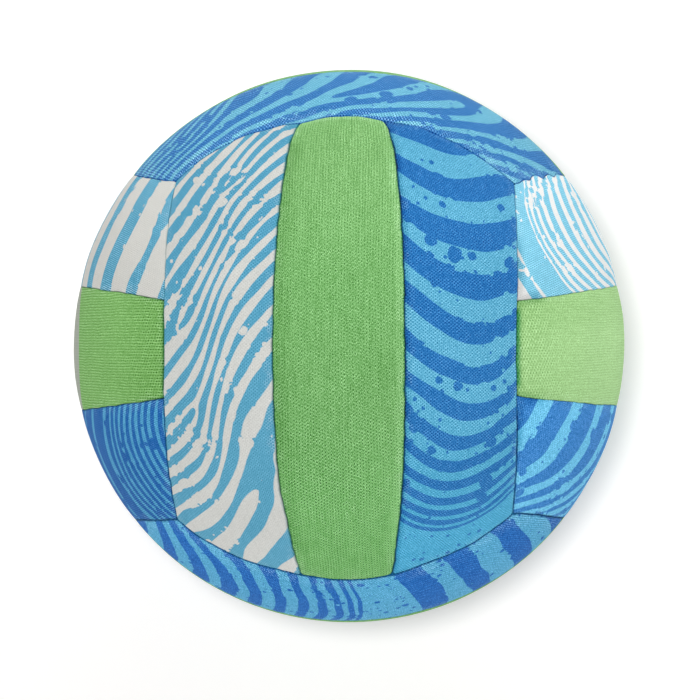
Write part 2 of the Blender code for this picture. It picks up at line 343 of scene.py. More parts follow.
def build_panel(name, strip, turn, rounding, fold_r):
    """A closed panel: fine outer face with rolled edges, lips turned into the seams, and a plain inner face."""
    turn = np.array(turn.to_3x3())
    across_shape = lines(float(strip.width(np.array([0.0]))[0]))
    along_shape = lines(2 * float(strip.half_length(np.array([0.5]))[0]))
    centre_q = spaced(
        2 * strip.half_length(np.array([0.5])), along_shape
    )[0] / float(strip.half_length(np.array([0.5]))[0]) - 1
    width = strip.width(centre_q)
    p = (spaced(width, across_shape) / width[:, None]).T          # columns, rows
    half = strip.half_length(p[:, p.shape[1] // 2])
    q = spaced(2 * half, along_shape) / half[:, None] - 1         # columns, rows
    x = strip.at(p, q)
    outer, edge = surface(strip, x, turn, rounding, fold_r)
    u, v = place_on_cloth(strip, x)
    columns, rows = p.shape

    rim = (
        [(i, 0) for i in range(columns - 1)]
        + [(columns - 1, j) for j in range(rows - 1)]
        + [(i, rows - 1) for i in range(columns - 1, 0, -1)]
        + [(0, j) for j in range(rows - 1, 0, -1)]
    )
    ri, rj = np.array(rim).T
    rim_p, rim_q = p[ri, rj], q[ri, rj]

    def drawn_in(ps, qs, inset):
        """The same (p, q), drawn in from every seam by inset metres, as directions in the ball's frame."""
        w = strip.width(qs)
        dp = inset / w
        ps = dp + ps * (1 - 2 * dp)
        return wander(strip.at(ps, qs * (1 - inset / strip.half_length(ps))) @ turn.T)

    wall = outer[ri, rj] / np.linalg.norm(outer[ri, rj], axis=-1, keepdims=True)
    rings = [
        wall * (BALL_R - WALL_DEPTH),
        drawn_in(rim_p, rim_q, LIP_SPLAY) * (BALL_R - LIP_DEPTH) * OVAL,
    ]
    step_i = sorted(set(range(0, columns, 5)) | {columns - 1})
    step_j = sorted(set(range(0, rows, 5)) | {rows - 1})
    gi, gj = np.meshgrid(step_i, step_j, indexing="ij")
    coarse_p, coarse_q = p[gi, gj], q[gi, gj]
    lip_in = drawn_in(coarse_p, coarse_q, LIP_SPLAY + LIP_T) * (BALL_R - LIP_DEPTH) * OVAL
    under = drawn_in(coarse_p, coarse_q, LIP_T + 0.5 * MM) * (BALL_R - PANEL_T) * OVAL

    verts, faces = [], []
    verts.append(outer.reshape(-1, 3))
    idx = np.arange(columns * rows).reshape(columns, rows)
    a, b, c, d = idx[:-1, :-1], idx[1:, :-1], idx[1:, 1:], idx[:-1, 1:]
    faces += np.stack([a, b, c, d], -1).reshape(-1, 4).tolist()
    base = columns * rows
    last = idx[ri, rj]
    n = len(rim)
    for ring in rings:
        now = base + np.arange(n)
        verts.append(ring)
        base += n
        nxt = np.roll(last, -1)
        faces += np.stack([last, now, np.roll(now, -1), nxt], -1).tolist()
        last = now
    # from the fine rim to the coarse inner face
    lookup = {place: k for k, place in enumerate(rim)}
    ci, cj = len(step_i), len(step_j)
    coarse_rim = (
        [(i, 0) for i in range(ci - 1)]
        + [(ci - 1, j) for j in range(cj - 1)]
        + [(i, cj - 1) for i in range(ci - 1, 0, -1)]
        + [(0, j) for j in range(cj - 1, 0, -1)]
    )
    verts.append(np.array([lip_in[i, j] for i, j in coarse_rim]))
    lip_ids = base + np.arange(len(coarse_rim))
    base += len(coarse_rim)
    starts = [lookup[(step_i[i], step_j[j])] for i, j in coarse_rim] + [n]
    for k in range(len(coarse_rim)):
        run = [int(last[m % n]) for m in range(starts[k], starts[k + 1] + 1)]
        m = (k + 1) % len(coarse_rim)
        faces.append([*run[::-1], int(lip_ids[k]), int(lip_ids[m])])
    verts.append(under.reshape(-1, 3))
    uid = base + np.arange(ci * cj).reshape(ci, cj)
    under_rim = np.array([uid[i, j] for i, j in coarse_rim])
    faces += np.stack(
        [lip_ids, under_rim, np.roll(under_rim, -1), np.roll(lip_ids, -1)], -1
    ).tolist()
    a, b, c, d = uid[:-1, :-1], uid[1:, :-1], uid[1:, 1:], uid[:-1, 1:]
    faces += np.stack([d, c, b, a], -1).reshape(-1, 4).tolist()

    points = np.concatenate(verts)
    mesh = bpy.data.meshes.new(name)
    mesh.from_pydata(points.tolist(), [], faces)
    mesh.update()

    # cloth coordinates and distance to the seam for every vertex
    total = len(points)
    cloth = np.zeros((total, 2))
    cloth[: columns * rows] = np.stack([u, v], -1).reshape(-1, 2)
    rest = points[columns * rows:] @ turn
    rest = rest / np.linalg.norm(rest, axis=-1, keepdims=True)
    cloth[columns * rows:] = np.stack(place_on_cloth(strip, rest), -1)
    far = np.zeros(total)
    far[: columns * rows] = edge.ravel()
    uv = mesh.uv_layers.new(name="cloth")
    corner_vertex = np.zeros(len(mesh.loops), np.int32)
    mesh.loops.foreach_get("vertex_index", corner_vertex)
    uv.data.foreach_set("uv", cloth[corner_vertex].astype(np.float32).ravel())
    mesh.attributes.new("edge", "FLOAT", "POINT").data.foreach_set(
        "value", far.astype(np.float32)
    )
    mesh.shade_smooth()
    obj = bpy.data.objects.new(name, mesh)
    bpy.context.scene.collection.objects.link(obj)
    return obj


# ------------------------------------------------------- numbers in node trees
class Tree:
    """A material's node tree with short-hand for its nodes."""

    def __init__(self, name):
        self.material = bpy.data.materials.new(name)
        self.material.use_nodes = True
        self.nodes, self.links = self.material.node_tree.nodes, self.material.node_tree.links
        self.shader = self.nodes["Principled BSDF"]

    def add(self, kind, **settings):
        node = self.nodes.new(kind)
        for key, value in settings.items():
            setattr(node, key, value)
        return node

    def feed(self, socket, value):
        if isinstance(value, Num):
            self.links.new(value.socket, socket)
        elif isinstance(value, bpy.types.NodeSocket):
            self.links.new(value, socket)
        else:
            socket.default_value = value

    def vector(self, x, y, z=0.0):
        node = self.add("ShaderNodeCombineXYZ")
        for socket, value in zip(node.inputs, (x, y, z)):
            self.feed(socket, value)
        return node.outputs[0]

    def noise(self, vector, size, detail=1.0, rough=0.5):
        """Smooth noise with features of that size: three numbers around 0.5 and their common strength."""
        node = self.add("ShaderNodeTexNoise", noise_dimensions="3D")
        self.feed(node.inputs["Vector"], vector)
        node.inputs["Scale"].default_value = 1 / size
        node.inputs["Detail"].default_value = detail
        node.inputs["Roughness"].default_value = rough
        return node

    def grey(self, vector, size, detail=1.0, rough=0.5):
        return Num(self, self.noise(vector, size, detail, rough).outputs["Fac"])

    def chance(self, vector):
        """A number between 0 and 1 by lot, the same for the same vector."""
        node = self.add("ShaderNodeTexWhiteNoise", noise_dimensions="3D")
        self.feed(node.inputs["Vector"], vector)
        return Num(self, node.outputs["Value"])

    def mix(self, factor, a, b):
        node = self.add("ShaderNodeMix", data_type="RGBA")
        self.feed(node.inputs[0], factor)
        self.feed(node.inputs[6], a)
        self.feed(node.inputs[7], b)
        return node.outputs[2]

    def lifted(self, colour, amount):
        """A colour made lighter or darker in steps that look even to the eye, the same in all three channels."""
        seen = self.add("ShaderNodeGamma")
        self.feed(seen.inputs["Color"], colour)
        seen.inputs["Gamma"].default_value = 1 / 2.2
        total = self.add("ShaderNodeVectorMath", operation="ADD")
        self.feed(total.inputs[0], seen.outputs[0])
        self.feed(total.inputs[1], self.vector(amount, amount, amount))
        held = self.add("ShaderNodeVectorMath", operation="MAXIMUM")
        self.feed(held.inputs[0], total.outputs[0])
        held.inputs[1].default_value = (0.02, 0.02, 0.02)
        back = self.add("ShaderNodeGamma")
        self.feed(back.inputs["Color"], held.outputs[0])
        back.inputs["Gamma"].default_value = 2.2
        return back.outputs[0]

    def attribute(self, name):
        return Num(self, self.add("ShaderNodeAttribute", attribute_name=name).outputs["Fac"])


class Num:
    """A number at each point of a surface, with the usual arithmetic."""

    def __init__(self, tree, socket):
        self.tree, self.socket = tree, socket

    def __add__(self, other):
        return sums("ADD", self, other)

    def __radd__(self, other):
        return sums("ADD", self, other)

    def __sub__(self, other):
        return sums("SUBTRACT", self, other)

    def __rsub__(self, other):
        return sums("SUBTRACT", other, self)

    def __mul__(self, other):
        return sums("MULTIPLY", self, other)

    def __rmul__(self, other):
        return sums("MULTIPLY", self, other)

    def __truediv__(self, other):
        return sums("DIVIDE", self, other)

    def __rtruediv__(self, other):
        return sums("DIVIDE", other, self)

    def __neg__(self):
        return sums("MULTIPLY", self, -1.0)

    def __pow__(self, other):
        return sums("MULTIPLY", self, self) if other == 2 else sums("POWER", self, other)


def sums(operation, *values):
    tree = next(v.tree for v in values if isinstance(v, Num))
    node = tree.add("ShaderNodeMath", operation=operation)
    for socket, value in zip(node.inputs, values):
        tree.feed(socket, value)
    return Num(tree, node.outputs[0])


def sin(x): return sums("SINE", x)
def cos(x): return sums("COSINE", x)
def tanh(x): return sums("TANH", x)
def root(x): return sums("SQRT", x)
def size_of(x): return sums("ABSOLUTE", x)
def fract(x): return sums("FRACT", x)
def floor(x): return sums("FLOOR", x)
def least(a, b): return sums("MINIMUM", a, b)
def most(a, b): return sums("MAXIMUM", a, b)
def angle(y, x): return sums("ARCTAN2", y, x)


def smooth(x, low, high):
    """0 below low, 1 above high, and smooth in between."""
    node = x.tree.add("ShaderNodeMapRange", interpolation_type="SMOOTHSTEP")
    x.tree.feed(node.inputs["Value"], x)
    node.inputs["From Min"].default_value = low
    node.inputs["From Max"].default_value = high
    return Num(x.tree, node.outputs["Result"])


def rgb(r, g, b):
    """A linear colour from an sRGB one of 0 to 255."""
    return (*[((c / 255 + 0.055) / 1.055) ** 2.4 if c > 10 else c / 255 / 12.92 for c in (r, g, b)], 1)


# -------------------------------------------------------------------- prints
# Wavy stripes, each panel cut from another place of the cloth. u runs from the
# green strip outwards, v along the strip, both in millimetres. A print gives
# how far inside its ink a point lies, in millimetres.
def stir(u, v, seed, size, amount):
    """A slow drift of the cloth's coordinates."""
    tree = u.tree
    node = tree.noise(tree.vector(u, v, seed * 37.0), size, 1.0)
    split = tree.add("ShaderNodeSeparateColor")
    tree.feed(split.inputs[0], node.outputs["Color"])
    return (Num(tree, split.outputs[0]) - 0.5) * (2 * amount), (Num(tree, split.outputs[1]) - 0.5) * (2 * amount)


def grey(u, v, seed, size, detail=1.0):
    return u.tree.grey(u.tree.vector(u, v, seed * 53.0), size, detail)


def bands(count, share, pitch):
    """Stripes: count goes up by one from stripe to stripe, share is the inked part of each, pitch their spacing in millimetres."""
    off = size_of(fract(count) - 0.5) * 2.0
    return (share - off) * (pitch * 0.5)


def closing(w):
    """Stripes that crowd together towards w = 0: how many lie below w, and how far apart they are there."""
    w = most(w, 0.3)
    return sums("POWER", w, 0.38) * (1 / 0.38), sums("POWER", w, 0.62)


def fork(u, v, at_u, at_v):
    """One stripe more above this place than below it."""
    return angle(v - at_v, u - at_u) * (1 / TAU)


def worn(u, v, seed, amount):
    """Ragged stripe edges, in millimetres: bitten here and there, finely frayed everywhere."""
    where = smooth(grey(u, v, seed, 12.0) + smooth(u, 2, 18) * 0.08, 0.57, 0.68)
    bite = smooth(grey(u, v, seed + 0.3, 3.3, 2.0), 0.38, 0.62) - 0.5
    fine = grey(u, v, seed + 0.6, 0.8, 0.0) - 0.5
    return bite * (where * amount * 0.65 + 0.03) + fine * (where * 0.6 + 0.16)


def drops(u, v, seed, cell, share, biggest):
    """Round drops scattered over the cloth, as millimetres inside one."""
    tree = u.tree
    du, dv = stir(u, v, seed + 0.5, cell * 0.45, cell * 0.16)
    cells = tree.add("ShaderNodeTexVoronoi", voronoi_dimensions="2D", feature="F1")
    tree.feed(cells.inputs["Vector"], tree.vector(u + du + seed * 131.0, v + dv + seed * 71.0))
    cells.inputs["Scale"].default_value = 1 / cell
    cells.inputs["Randomness"].default_value = 0.85
    pick = tree.add("ShaderNodeSeparateColor")
    tree.feed(pick.inputs[0], cells.outputs["Color"])
    chosen = most((Num(tree, pick.outputs[0]) - (1 - share)) * (1 / share), 0.0)
    radius = sums("POWER", chosen, 1.4) * (biggest + 0.25) - 0.25
    return radius - Num(tree, cells.outputs["Distance"]) * cell


def print_top_blue(u, v):
    du, dv = stir(u, v, 1, 30, 2.4)
    middle = v * 0.09 + 3.5
    w = v + dv - (u + du - middle) ** 2 * 0.02 + 76
    count, pitch = closing(w)
    share = grey(u, v, 2, 26) * 0.5 + 0.27 - (1 - smooth(w, 3.0, 5.0)) * 3
    return bands(count + 0.5, share, pitch)


def print_top_white(u, v):
    du, dv = stir(u, v, 3, 34, 3.0)
    lean = 0.98 - tanh((v - 45) / 30) * 0.40
    firm = 12.5 - smooth(v, 20, 75) * 9.0
    bend = tanh((u + du - 1) / 8)
    w = v + dv - lean * u - firm * bend
    slope = lean + firm * (1 - bend**2) * (1 / 8)
    wide = smooth(w, 30, 62)
    pitch = (wide * 3.0 + 12.5) / root(slope**2 + 1)
    count = w / 12.5 - most(w - 46, 0.0) * (1 / 12.5 - 1 / 15.5) + sin(w / 29) * 0.25 + fork(u, v, 9, 21) - fork(u, v, 15, -9) + fork(u, v, -11, 52) - fork(u, v, 4, -61)
    share = grey(u, v, 4, 18) * 0.9 + 0.05
    return bands(count, share, pitch)


def print_right_white(u, v):
    du, dv = stir(u, v, 5, 30, 2.2)
    w = 79 - (v + dv + (0.05 - v * 0.00045) * (u + du - 4) ** 2)
    count, pitch = closing(w)
    share = grey(u, v, 6, 22) * 0.5 + 0.25 + (1 - smooth(w, 2.5, 4.5)) * 3
    bare = most(0.3 - size_of(w + 7.6) * 0.5, -12.3 - w)
    return least(bands(count + 0.3, share, pitch * 0.85), 0.0 - bare)


def print_right_blue(u, v):
    du, dv = stir(u, v, 7, 30, 2.6)
    x = u + du + 22
    c = v + dv + x * x * 0.010
    fan = most(u + v * 0.25 + 10, 0.0)
    c = c + fan * fan * 0.055
    slant = root((x * 0.020 + fan * 0.11) ** 2 + 1)
    share = grey(u, v, 8, 24) * 0.6 + 0.24
    return bands(c / 18.5 + 0.35, share, 18.5 / slant)


def print_left_white(u, v):
    du, dv = stir(u, v, 9, 32, 2.6)
    w = v + dv - u * 0.10 + sin(u / 8) * 1.2
    count = w / 19.5 + most(w - 50, 0.0) * (1 / 12.5 - 1 / 19.5) + 0.42
    share = sin(count * 2.4 + 0.6) * 0.14 + 0.41 + (grey(u, v, 10, 20) - 0.5) * 0.4
    return bands(count, share, 19.0 - smooth(w, 46, 54) * 6.5)


def print_left_blue(u, v):
    du, dv = stir(u, v, 11, 30, 2.4)
    w = v + dv + u * 0.31 - u * u * 0.018
    over = most(w - 47, 0.0)
    count = (w - 47) / 14.5 + over * (1 / 4.4 - 1 / 14.5)
    pitch = 14.5 - smooth(w, 44, 50) * 10.1
    share = grey(u, v, 12, 22) * 0.6 + 0.50 - smooth(w, 44, 50) * 0.2
    return bands(count + 0.2, share, pitch)


def print_back_blue(u, v):
    du, dv = stir(u, v, 13, 32, 2.8)
    x = most(u + du + 8, 0.0)
    c = v + dv + u * 0.42 + x * x * 0.045
    slant = root((x * 0.090 + 0.42) ** 2 + 1)
    ring = root((u + du + 22) ** 2 + (v + dv + 85) ** 2)
    out = smooth(ring, 36, 54)
    count = (ring - 45) / 5.2 * (1 - out) + (c + 38) / 20.5 * out
    pitch = 5.2 * (1 - out) + 20.5 / slant * out
    count = count + fork(u, v, -4, 46) - fork(u, v, 9, -4)
    share = grey(u, v, 14, 24) * 0.6 + 0.24
    return bands(count + 0.55, share, pitch)


def print_front_blue(u, v):
    du, dv = stir(u, v, 15, 30, 2.4)
    bow = smooth(v, 0, 60) * 0.012 + 0.008
    w = v + dv - (u + du + 1) ** 2 * bow + 11
    count, pitch = closing(w)
    share = grey(u, v, 16, 24) * 0.5 + 0.27 - (1 - smooth(w, 3.0, 5.0)) * 3
    upper = bands(count + 0.4, share, pitch)
    c = v + dv - u * 0.12 - (u + 10) ** 2 * 0.004
    lower = bands(c / 19.5 + 0.1, grey(u, v, 17, 24) * 0.6 + 0.2 - smooth(c, -26, -23) * 3, 18.0)
    return most(upper, lower)


def print_crowding(seed, middle, bow, end, offset):
    """Bowed stripes that crowd together towards one end of the strip."""
    def made(u, v):
        du, dv = stir(u, v, seed, 30, 2.6)
        w = v + dv - (u + du - middle) ** 2 * bow + end
        count, pitch = closing(w)
        share = grey(u, v, seed + 0.7, 24) * 0.5 + 0.26 - (1 - smooth(w, 3.0, 5.0)) * 3
        return bands(count + offset, share, pitch)

    return made


def print_flowing(seed, steepness, slope, pitch):
    """Slanting stripes with a steep bend in the middle of the strip."""
    def made(u, v):
        du, dv = stir(u, v, seed, 34, 3.2)
        bend = tanh((u + du - 2 + v * 0.05) / 8.0)
        w = v + dv + steepness * bend + u * slope
        tilt = (1 - bend**2) * (steepness / 8.0) + slope
        count = w / pitch + sin(w / 27 + seed) * 0.25 + fork(u, v, -8, 30) - fork(u, v, 10, -26)
        share = grey(u, v, seed + 0.7, 24) * 0.7 + 0.15
        return bands(count, share, pitch / root(tilt**2 + 1))

    return made


PRINTS = {
    "top_blue": print_top_blue,
    "top_white": print_top_white,
    "right_white": print_right_white,
    "right_blue": print_right_blue,
    "left_white": print_left_white,
    "left_blue": print_left_blue,
    "back_blue": print_back_blue,
    "front_blue": print_front_blue,
    "back_white": print_flowing(21, 9.0, 0.6, 12.0),
    "front_white": print_crowding(23, -4.0, 0.022, 84, 0.2),
    "bottom_blue": print_crowding(25, 3.0, 0.020, 70, 0.6),
    "bottom_white": print_flowing(27, -10.0, -0.7, 12.5),
}


# ----------------------------------------------------------------- materials
GREEN, GREEN_LOWER, GREEN_UPPER = rgb(115, 172, 101), rgb(115, 179, 102), rgb(117, 170, 102)
BLUE = rgb(90, 168, 201), rgb(34, 110, 176)          # light stripes, dark stripes
WHITE = rgb(199, 200, 196), rgb(81, 153, 183)        # cloth, stripes
GREY_BLOCK = rgb(165, 172, 160)
SPECK = {"green": rgb(196, 222, 190), "blue": rgb(160, 214, 232), "white": rgb(214, 218, 216)}   # the bare yarn

# painted light and shade: some panels get their own colours, painted paler or deeper by how the light falls on their
# side of the ball
SIDE_LIT_COLOURS = {
    "right_green": rgb(167, 213, 144),
    "right_blue": (rgb(112, 200, 240), rgb(58, 134, 206)),
    "right_white": (rgb(230, 231, 230), rgb(125, 196, 222)),
    "left_green": rgb(126, 181, 102),
    "left_blue": (rgb(75, 157, 199), rgb(25, 98, 171)),
    "left_white": (rgb(203, 203, 198), rgb(86, 158, 187)),
    "front_blue": (rgb(88, 174, 216), rgb(24, 107, 190)),
    "back_blue": (rgb(98, 170, 197), rgb(44, 113, 176)),
    "front_green": rgb(118, 182, 100),
}

# the knit: wales across the strip and courses along it, in millimetres, how far
# each wale is shifted against the last, how strongly the holes' shade and the loops'
# light are painted, how far the wales stand out as ribs, and how hairy the yarn is;
# cloth that is pulled at the strip's ends opens into holes, from one place along it to another
GREEN_KNIT = (1.00, 1.29, 0.648, 0.120, 0.32, 0.68)
BLUE_KNIT = (0.72, 1.17, 0.48, 0.14, 0.10, 0.45)
WHITE_KNIT = (0.72, 1.17, 0.48, 0.035, 0.20, 0.15)
KNITS = {
    "left_green": (1.00, 1.29, 0.648, 0.10, 0.95, 0.28),
    "right_green": (1.00, 1.29, 0.648, 0.045, 0.75, 0.30),
    "right_blue": (0.72, 1.17, 0.48, 0.09, 0.10, 0.45),
    "left_blue": (0.72, 1.17, 0.48, 0.13, 0.55, 0.45),
    "left_white": (0.72, 1.17, 0.48, 0.05, 0.55, 0.13),
    "back_blue": (1.00, 1.17, 0.48, 0.16, 0.05, 0.45),
}
# how the loops are drawn out: the yarn's hairs lie along the strip or across it
LIE = {"back_blue": (0.45, 1.0), "front_blue": (0.45, 1.0), "left_green": (1.0, 0.5), "right_green": (1.0, 0.5), "right_blue": (1.0, 0.6), "left_blue": (1.0, 0.6)}
# where a pulled strip opens and by how much the painted shade in its holes deepens
# there, what is left of the ribs, and how strong the wales and the two slants are in the opened cloth
PULLED = {"left_green": (73, 92, 0.06, 1.0, 1.45, 0.38, 0.72), "right_green": (54, 102, 0.14, 0.4, 0.25, 0.68, 0.85)}
# how strong the wales are in unribbed cloth, and the second and third slant beside the first
SLANTS = {"top_green": (0.0, 0.70, 1.2), "bottom_green": (0.0, 0.70, 1.2), "front_green": (0.0, 0.70, 1.2), "back_green": (0.0, 0.70, 1.2)}
# how dark the painted shade in the crease of a seam is, and its colour; it is painted
# fainter on the paler cloth of one group, and on another that lies flatter
CREASES = {"green": (1.0, rgb(0, 92, 58)), "blue": (0.85, rgb(0, 76, 124)), "white": (0.40, rgb(30, 122, 124))}
CREASE_SHARE = {"right_white": 0.1, "right_green": 0.3, "left_white": 0.3, "left_green": 0.55, "back_blue": 0.9, "front_blue": 1.3}
CREASE_REACH = {"top_green": 0.85, "front_blue": 1.0, "top_blue": 0.72, "right_blue": 0.7, "top_white": 0.8}
CREASE_GREENWARD = {"right_blue": 0.2, "left_blue": 0.8}
CREASE_UPPER_END = {"top_green": 0.2, "top_blue": 0.5}
CREASE_LOWER_END = {"top_white": 2.0}
CREASE_SIDES = {"left_green": 0.4, "right_green": 0.25}
# painted light and shade: strips painted lighter in their middle, and strips painted darker or lighter along the cloth
PAINTED_MIDDLE_LIGHT = {"right_green": 0.035}
PAINTED_LIGHT_SLOPE = {"top_blue": -0.026, "top_white": 0.022}
# painted light and shade: strips painted darker on one side and lighter on the other, by how the light falls across
# them, and how much darker all of the second half is painted
SIDES = {"top_green": (0.05, 0.047, 0.0), "right_green": (0.0, 0.0, 0.042)}
# painted shade: strips painted darker where they turn down into the seam, at their ends and beside the green strip
PAINTED_SEAM_SHADE = {"right_green": (0.06, 0.0), "right_white": (0.13, 0.0), "right_blue": (0.11, 0.0), "top_blue": (0.0, 0.075)}
# painted shade: strips painted darker towards their ends, over a long way, and close to the seam, how far that reaches
# and its colour
END_SHADE = {"left_green": (0.03, 0.72, 2.0, rgb(68, 122, 60)), "right_green": (0.03, 0.95, 3.2, rgb(76, 160, 98))}
# how much deeper the painted shade in the holes is where the white cloth is inked
INKED = {"top_white": 0.063, "right_white": 0.135, "left_white": 0.23, "back_white": 0.06, "front_white": 0.06, "bottom_white": 0.06}


def cloth_material(name, knit, crease, colour_of, seed, speck, yarn=0.2, covered=None, pulled=None, lie=(1.0, 1.0), painted_middle_light=0.0, streak=0.03, drift=0.0, shade=None, inked=None, lit=0.0, slants=(0.35, 0.85, 0.0), sides=None, dim=None):
    t = Tree(name)
    split = t.add("ShaderNodeSeparateXYZ")
    t.feed(split.inputs[0], t.add("ShaderNodeUVMap", uv_map="cloth").outputs[0])
    u, v = Num(t, split.outputs[0]) * 1000.0, Num(t, split.outputs[1]) * 1000.0
    edge = t.attribute("edge") * 1000.0
    pitch, course, skew, depth, rib, hair = knit

    # loops of the knit face: holes on a slanting grid and ribs along the wales, with painted shade in the holes and
    # painted light on the loops
    du, dv = stir(u, v, seed + 60, 13, 0.35)
    a, b = (u + du) / pitch, (v + dv) / course
    ribbed = (grey(u, v, seed + 61, 10, 2.0) - 0.5) * 0.9 + smooth(v, 25, 70) * 0.42 + rib
    if pulled:
        low, high, more, kept, *opening = pulled
        du, dv = stir(u, v, seed + 72, 3.6, 0.24)
        a, b = a + du / pitch, b + dv / course
        opened = smooth(size_of(v) + (grey(u, v, seed + 68, 9) - 0.5) * 24 + smooth(size_of(u), 12, 24) * 5, low, high)
        depth = opened * more + depth
    ribbed = least(most(ribbed, 0.0), 1.0)
    bare, lesser, fine = slants
    wales, first, second = cos(a * TAU), cos((a * skew - b) * TAU), cos((a * (1 - skew) + b) * TAU)
    both = first + second * lesser
    if fine:
        both = both + cos((a * (2 - skew) + b) * TAU) * fine
    along_wales = wales * (ribbed * 1.3 + bare)
    if pulled:
        along_wales = along_wales * (1 - least(opened * 3.0, 1.0) * (1 - kept))
    hole = both * (1 - ribbed * 0.75) + along_wales
    if pulled:
        wide = wales * opening[0] + first * opening[1] + second * opening[2]
        hole = hole * (1 - opened) + (wide * wide * 0.22 + wide - 0.2) * opened
    even = 1.5
    if fine:
        # holes painted with deeper, more even shade, deepest towards the strip's lower end
        even = 1.05
        lower = 1 - smooth(v, -60, -5)
        sharp = lower * 0.22 + 0.08
        hole = (hole * hole * sharp + hole - sharp) * (lower * 0.62 + 1)
    wale = floor(a + 0.5)
    single = t.chance(t.vector(wale, floor(b - wale * skew + 0.5), seed)) - 0.5
    strong = (grey(u, v, seed + 62, 6, 2.0) * 0.6 + 0.7) * (1 - smooth(v, 25, 75) * 0.2)
    weave = hole * strong * (single * even + 1) * -0.45 + single * (even / 6)
    fuzz = grey(u * lie[0], v * lie[1], seed + 63, 0.38, 1.0) - 0.5

    colour = colour_of(t, u, v)
    if inked:
        more, ink, bare = inked
        split = t.add("ShaderNodeSeparateColor")
        t.feed(split.inputs[0], colour)
        depth = (1 - smooth(Num(t, split.outputs[0]), ink + (bare - ink) * 0.1, ink + (bare - ink) * 0.6)) * more + depth
    seamward = 1 - smooth(edge, 0.6, 4.0)
    pale = seamward * smooth(weave, -0.1, 0.45) * smooth(grey(u, v, seed + 64, 8), 0.40, 0.66)
    if yarn > 0.2:
        # stretched round the seam, the cloth opens and lets the bare yarn through on its loops
        drawn = 1 - smooth(edge, 2.0, 9.0)
        grains = smooth(weave * 0.22 + fuzz * 0.6, -0.02, 0.14) * drawn
        pale = most(pale * 0.5, grains * smooth(grey(u, v, seed + 70, 13), 0.30, 0.62))
        depth = drawn * (depth * 0.3) + depth
    colour = t.mix(pale * yarn, colour, speck)
    if shade:
        # painted shade close to the seam at the strip's ends
        _, close, reach, deep = shade
        near = 1 - smooth(edge, 0.2, reach)
        colour = t.mix(near * near * smooth(size_of(v), 80, 87) * (1 - smooth(size_of(u), 12.0, 15.5) * 0.8) * close, colour, deep)
    frayed = edge + (grey(u, v, seed + 66, 0.9) - 0.5) * 0.7 - weave * 0.12
    uneven = grey(u, v, seed + 67, 7) * 0.7 + 0.65
    strength = uneven * crease[0]
    if crease[3] < 1:
        # fainter on the side of the green strip
        strength = strength * (smooth(u, -9, -4) * (1 - crease[3]) + crease[3])
    if crease[5] < 1:
        strength = strength * (smooth(size_of(v), 80, 87) * (1 - crease[5]) + crease[5])
    if crease[4] < 1:
        strength = strength * (1 - smooth(v, 82, 92) * (1 - crease[4]))
    if crease[6] > 1:
        strength = strength * ((1 - smooth(v, -75, -35)) * (crease[6] - 1) + 1)
    # painted shade in the seam's crease, ragged with the knit
    colour = t.mix((1 - smooth(frayed, crease[2] * 0.13, crease[2])) * least(strength, 1.0), colour, crease[1])
    mottle = (grey(u, v, seed + 65, 34, 2.0) - 0.5) * 0.05 + (grey(u * 0.85, v * 0.055, seed + 71, 1.0) - 0.5) * streak
    # painted light and shade: the strip is painted darker or lighter along the cloth
    if drift:
        mottle = mottle + v * (drift / 60) + 0.008
    if shade:
        # painted shade over a long way towards the strip's ends
        mottle = mottle - smooth(size_of(v), 68, 92) * shade[0]
    if sides:
        # painted light and shade: one side of the crowned strip is painted darker than the other, by how the light
        # falls across it
        second_side = smooth(u, -2, 2)
        inward = 1 - smooth(size_of(v), 78, 86)
        mottle = mottle + (second_side * (1 - smooth(edge, 1.6, 4.4)) * sides[1] - (1 - second_side) * (1 - smooth(edge, 1.2, 8.0)) * sides[0]) * inward
        mottle = mottle - smooth(u, 2, 16) * sides[2]
    if dim:
        # painted shade where the strip turns down into the seam, at its ends and beside the green strip
        mottle = mottle - (1 - smooth(edge, 0.5, 4.2)) * smooth(size_of(v), 80, 87) * dim[0]
        mottle = mottle - (1 - smooth(edge, 0.6, 2.6)) * (1 - smooth(u, -9, -4)) * dim[1]
    if lit:
        # painted highlight where the strip's upper end catches the light beside its seam
        mottle = mottle + (1 - smooth(edge, 0.9, 3.2)) * smooth(v, 82, 90) * lit
    # painted light: the strip's middle is painted lighter
    if painted_middle_light:
        mottle = mottle + (1 - smooth(size_of(v), 30, 80)) * painted_middle_light
    # the knit's painted shade and highlights, with the yarn's own hairy grain, laid into the colour
    relief = weave * depth + fuzz * hair
    if covered:
        relief = relief * (1 - covered(u, v) * 0.85)
    colour = t.lifted(colour, relief + mottle)
    t.feed(t.shader.inputs["Base Color"], colour)
    bump = t.add("ShaderNodeBump")
    bump.inputs["Strength"].default_value = 0.5
    bump.inputs["Distance"].default_value = 0.1 * MM
    t.feed(bump.inputs["Height"], fuzz * 0.5 + weave * 0.7)
    t.feed(t.shader.inputs["Normal"], bump.outputs[0])
    t.feed(t.shader.inputs["Roughness"], 0.84 - weave * 0.08)
    t.shader.inputs["Specular IOR Level"].default_value = 0.07
    t.shader.inputs["Sheen Weight"].default_value = 0.02
    t.shader.inputs["Sheen Roughness"].default_value = 0.8
    t.shader.inputs["Sheen Tint"].default_value = (1, 1, 1, 1)
    return t.material


def printed(print_of, seed, cloth, ink, drops_of, wear, painted_sheen_loss=0.0):
    def colour_of(t, u, v):
        inside = print_of(u, v) + worn(u, v, seed + 30, wear(u, v) if callable(wear) else wear)
        under = cloth
        if painted_sheen_loss:
            # painted sheen: the light stripes keep their paler, sheened colour in the upper part and are painted bluer
            # towards the strip's lower end
            deep = (cloth[0] * (1 - painted_sheen_loss), cloth[1] * (1 - painted_sheen_loss * 0.2), cloth[2], 1)
            under = t.mix(1 - smooth(v, -84, 8), cloth, deep)
        return t.mix(smooth(drops_of(u, v, inside, seed), -0.17, 0.17), under, ink)

    return colour_of


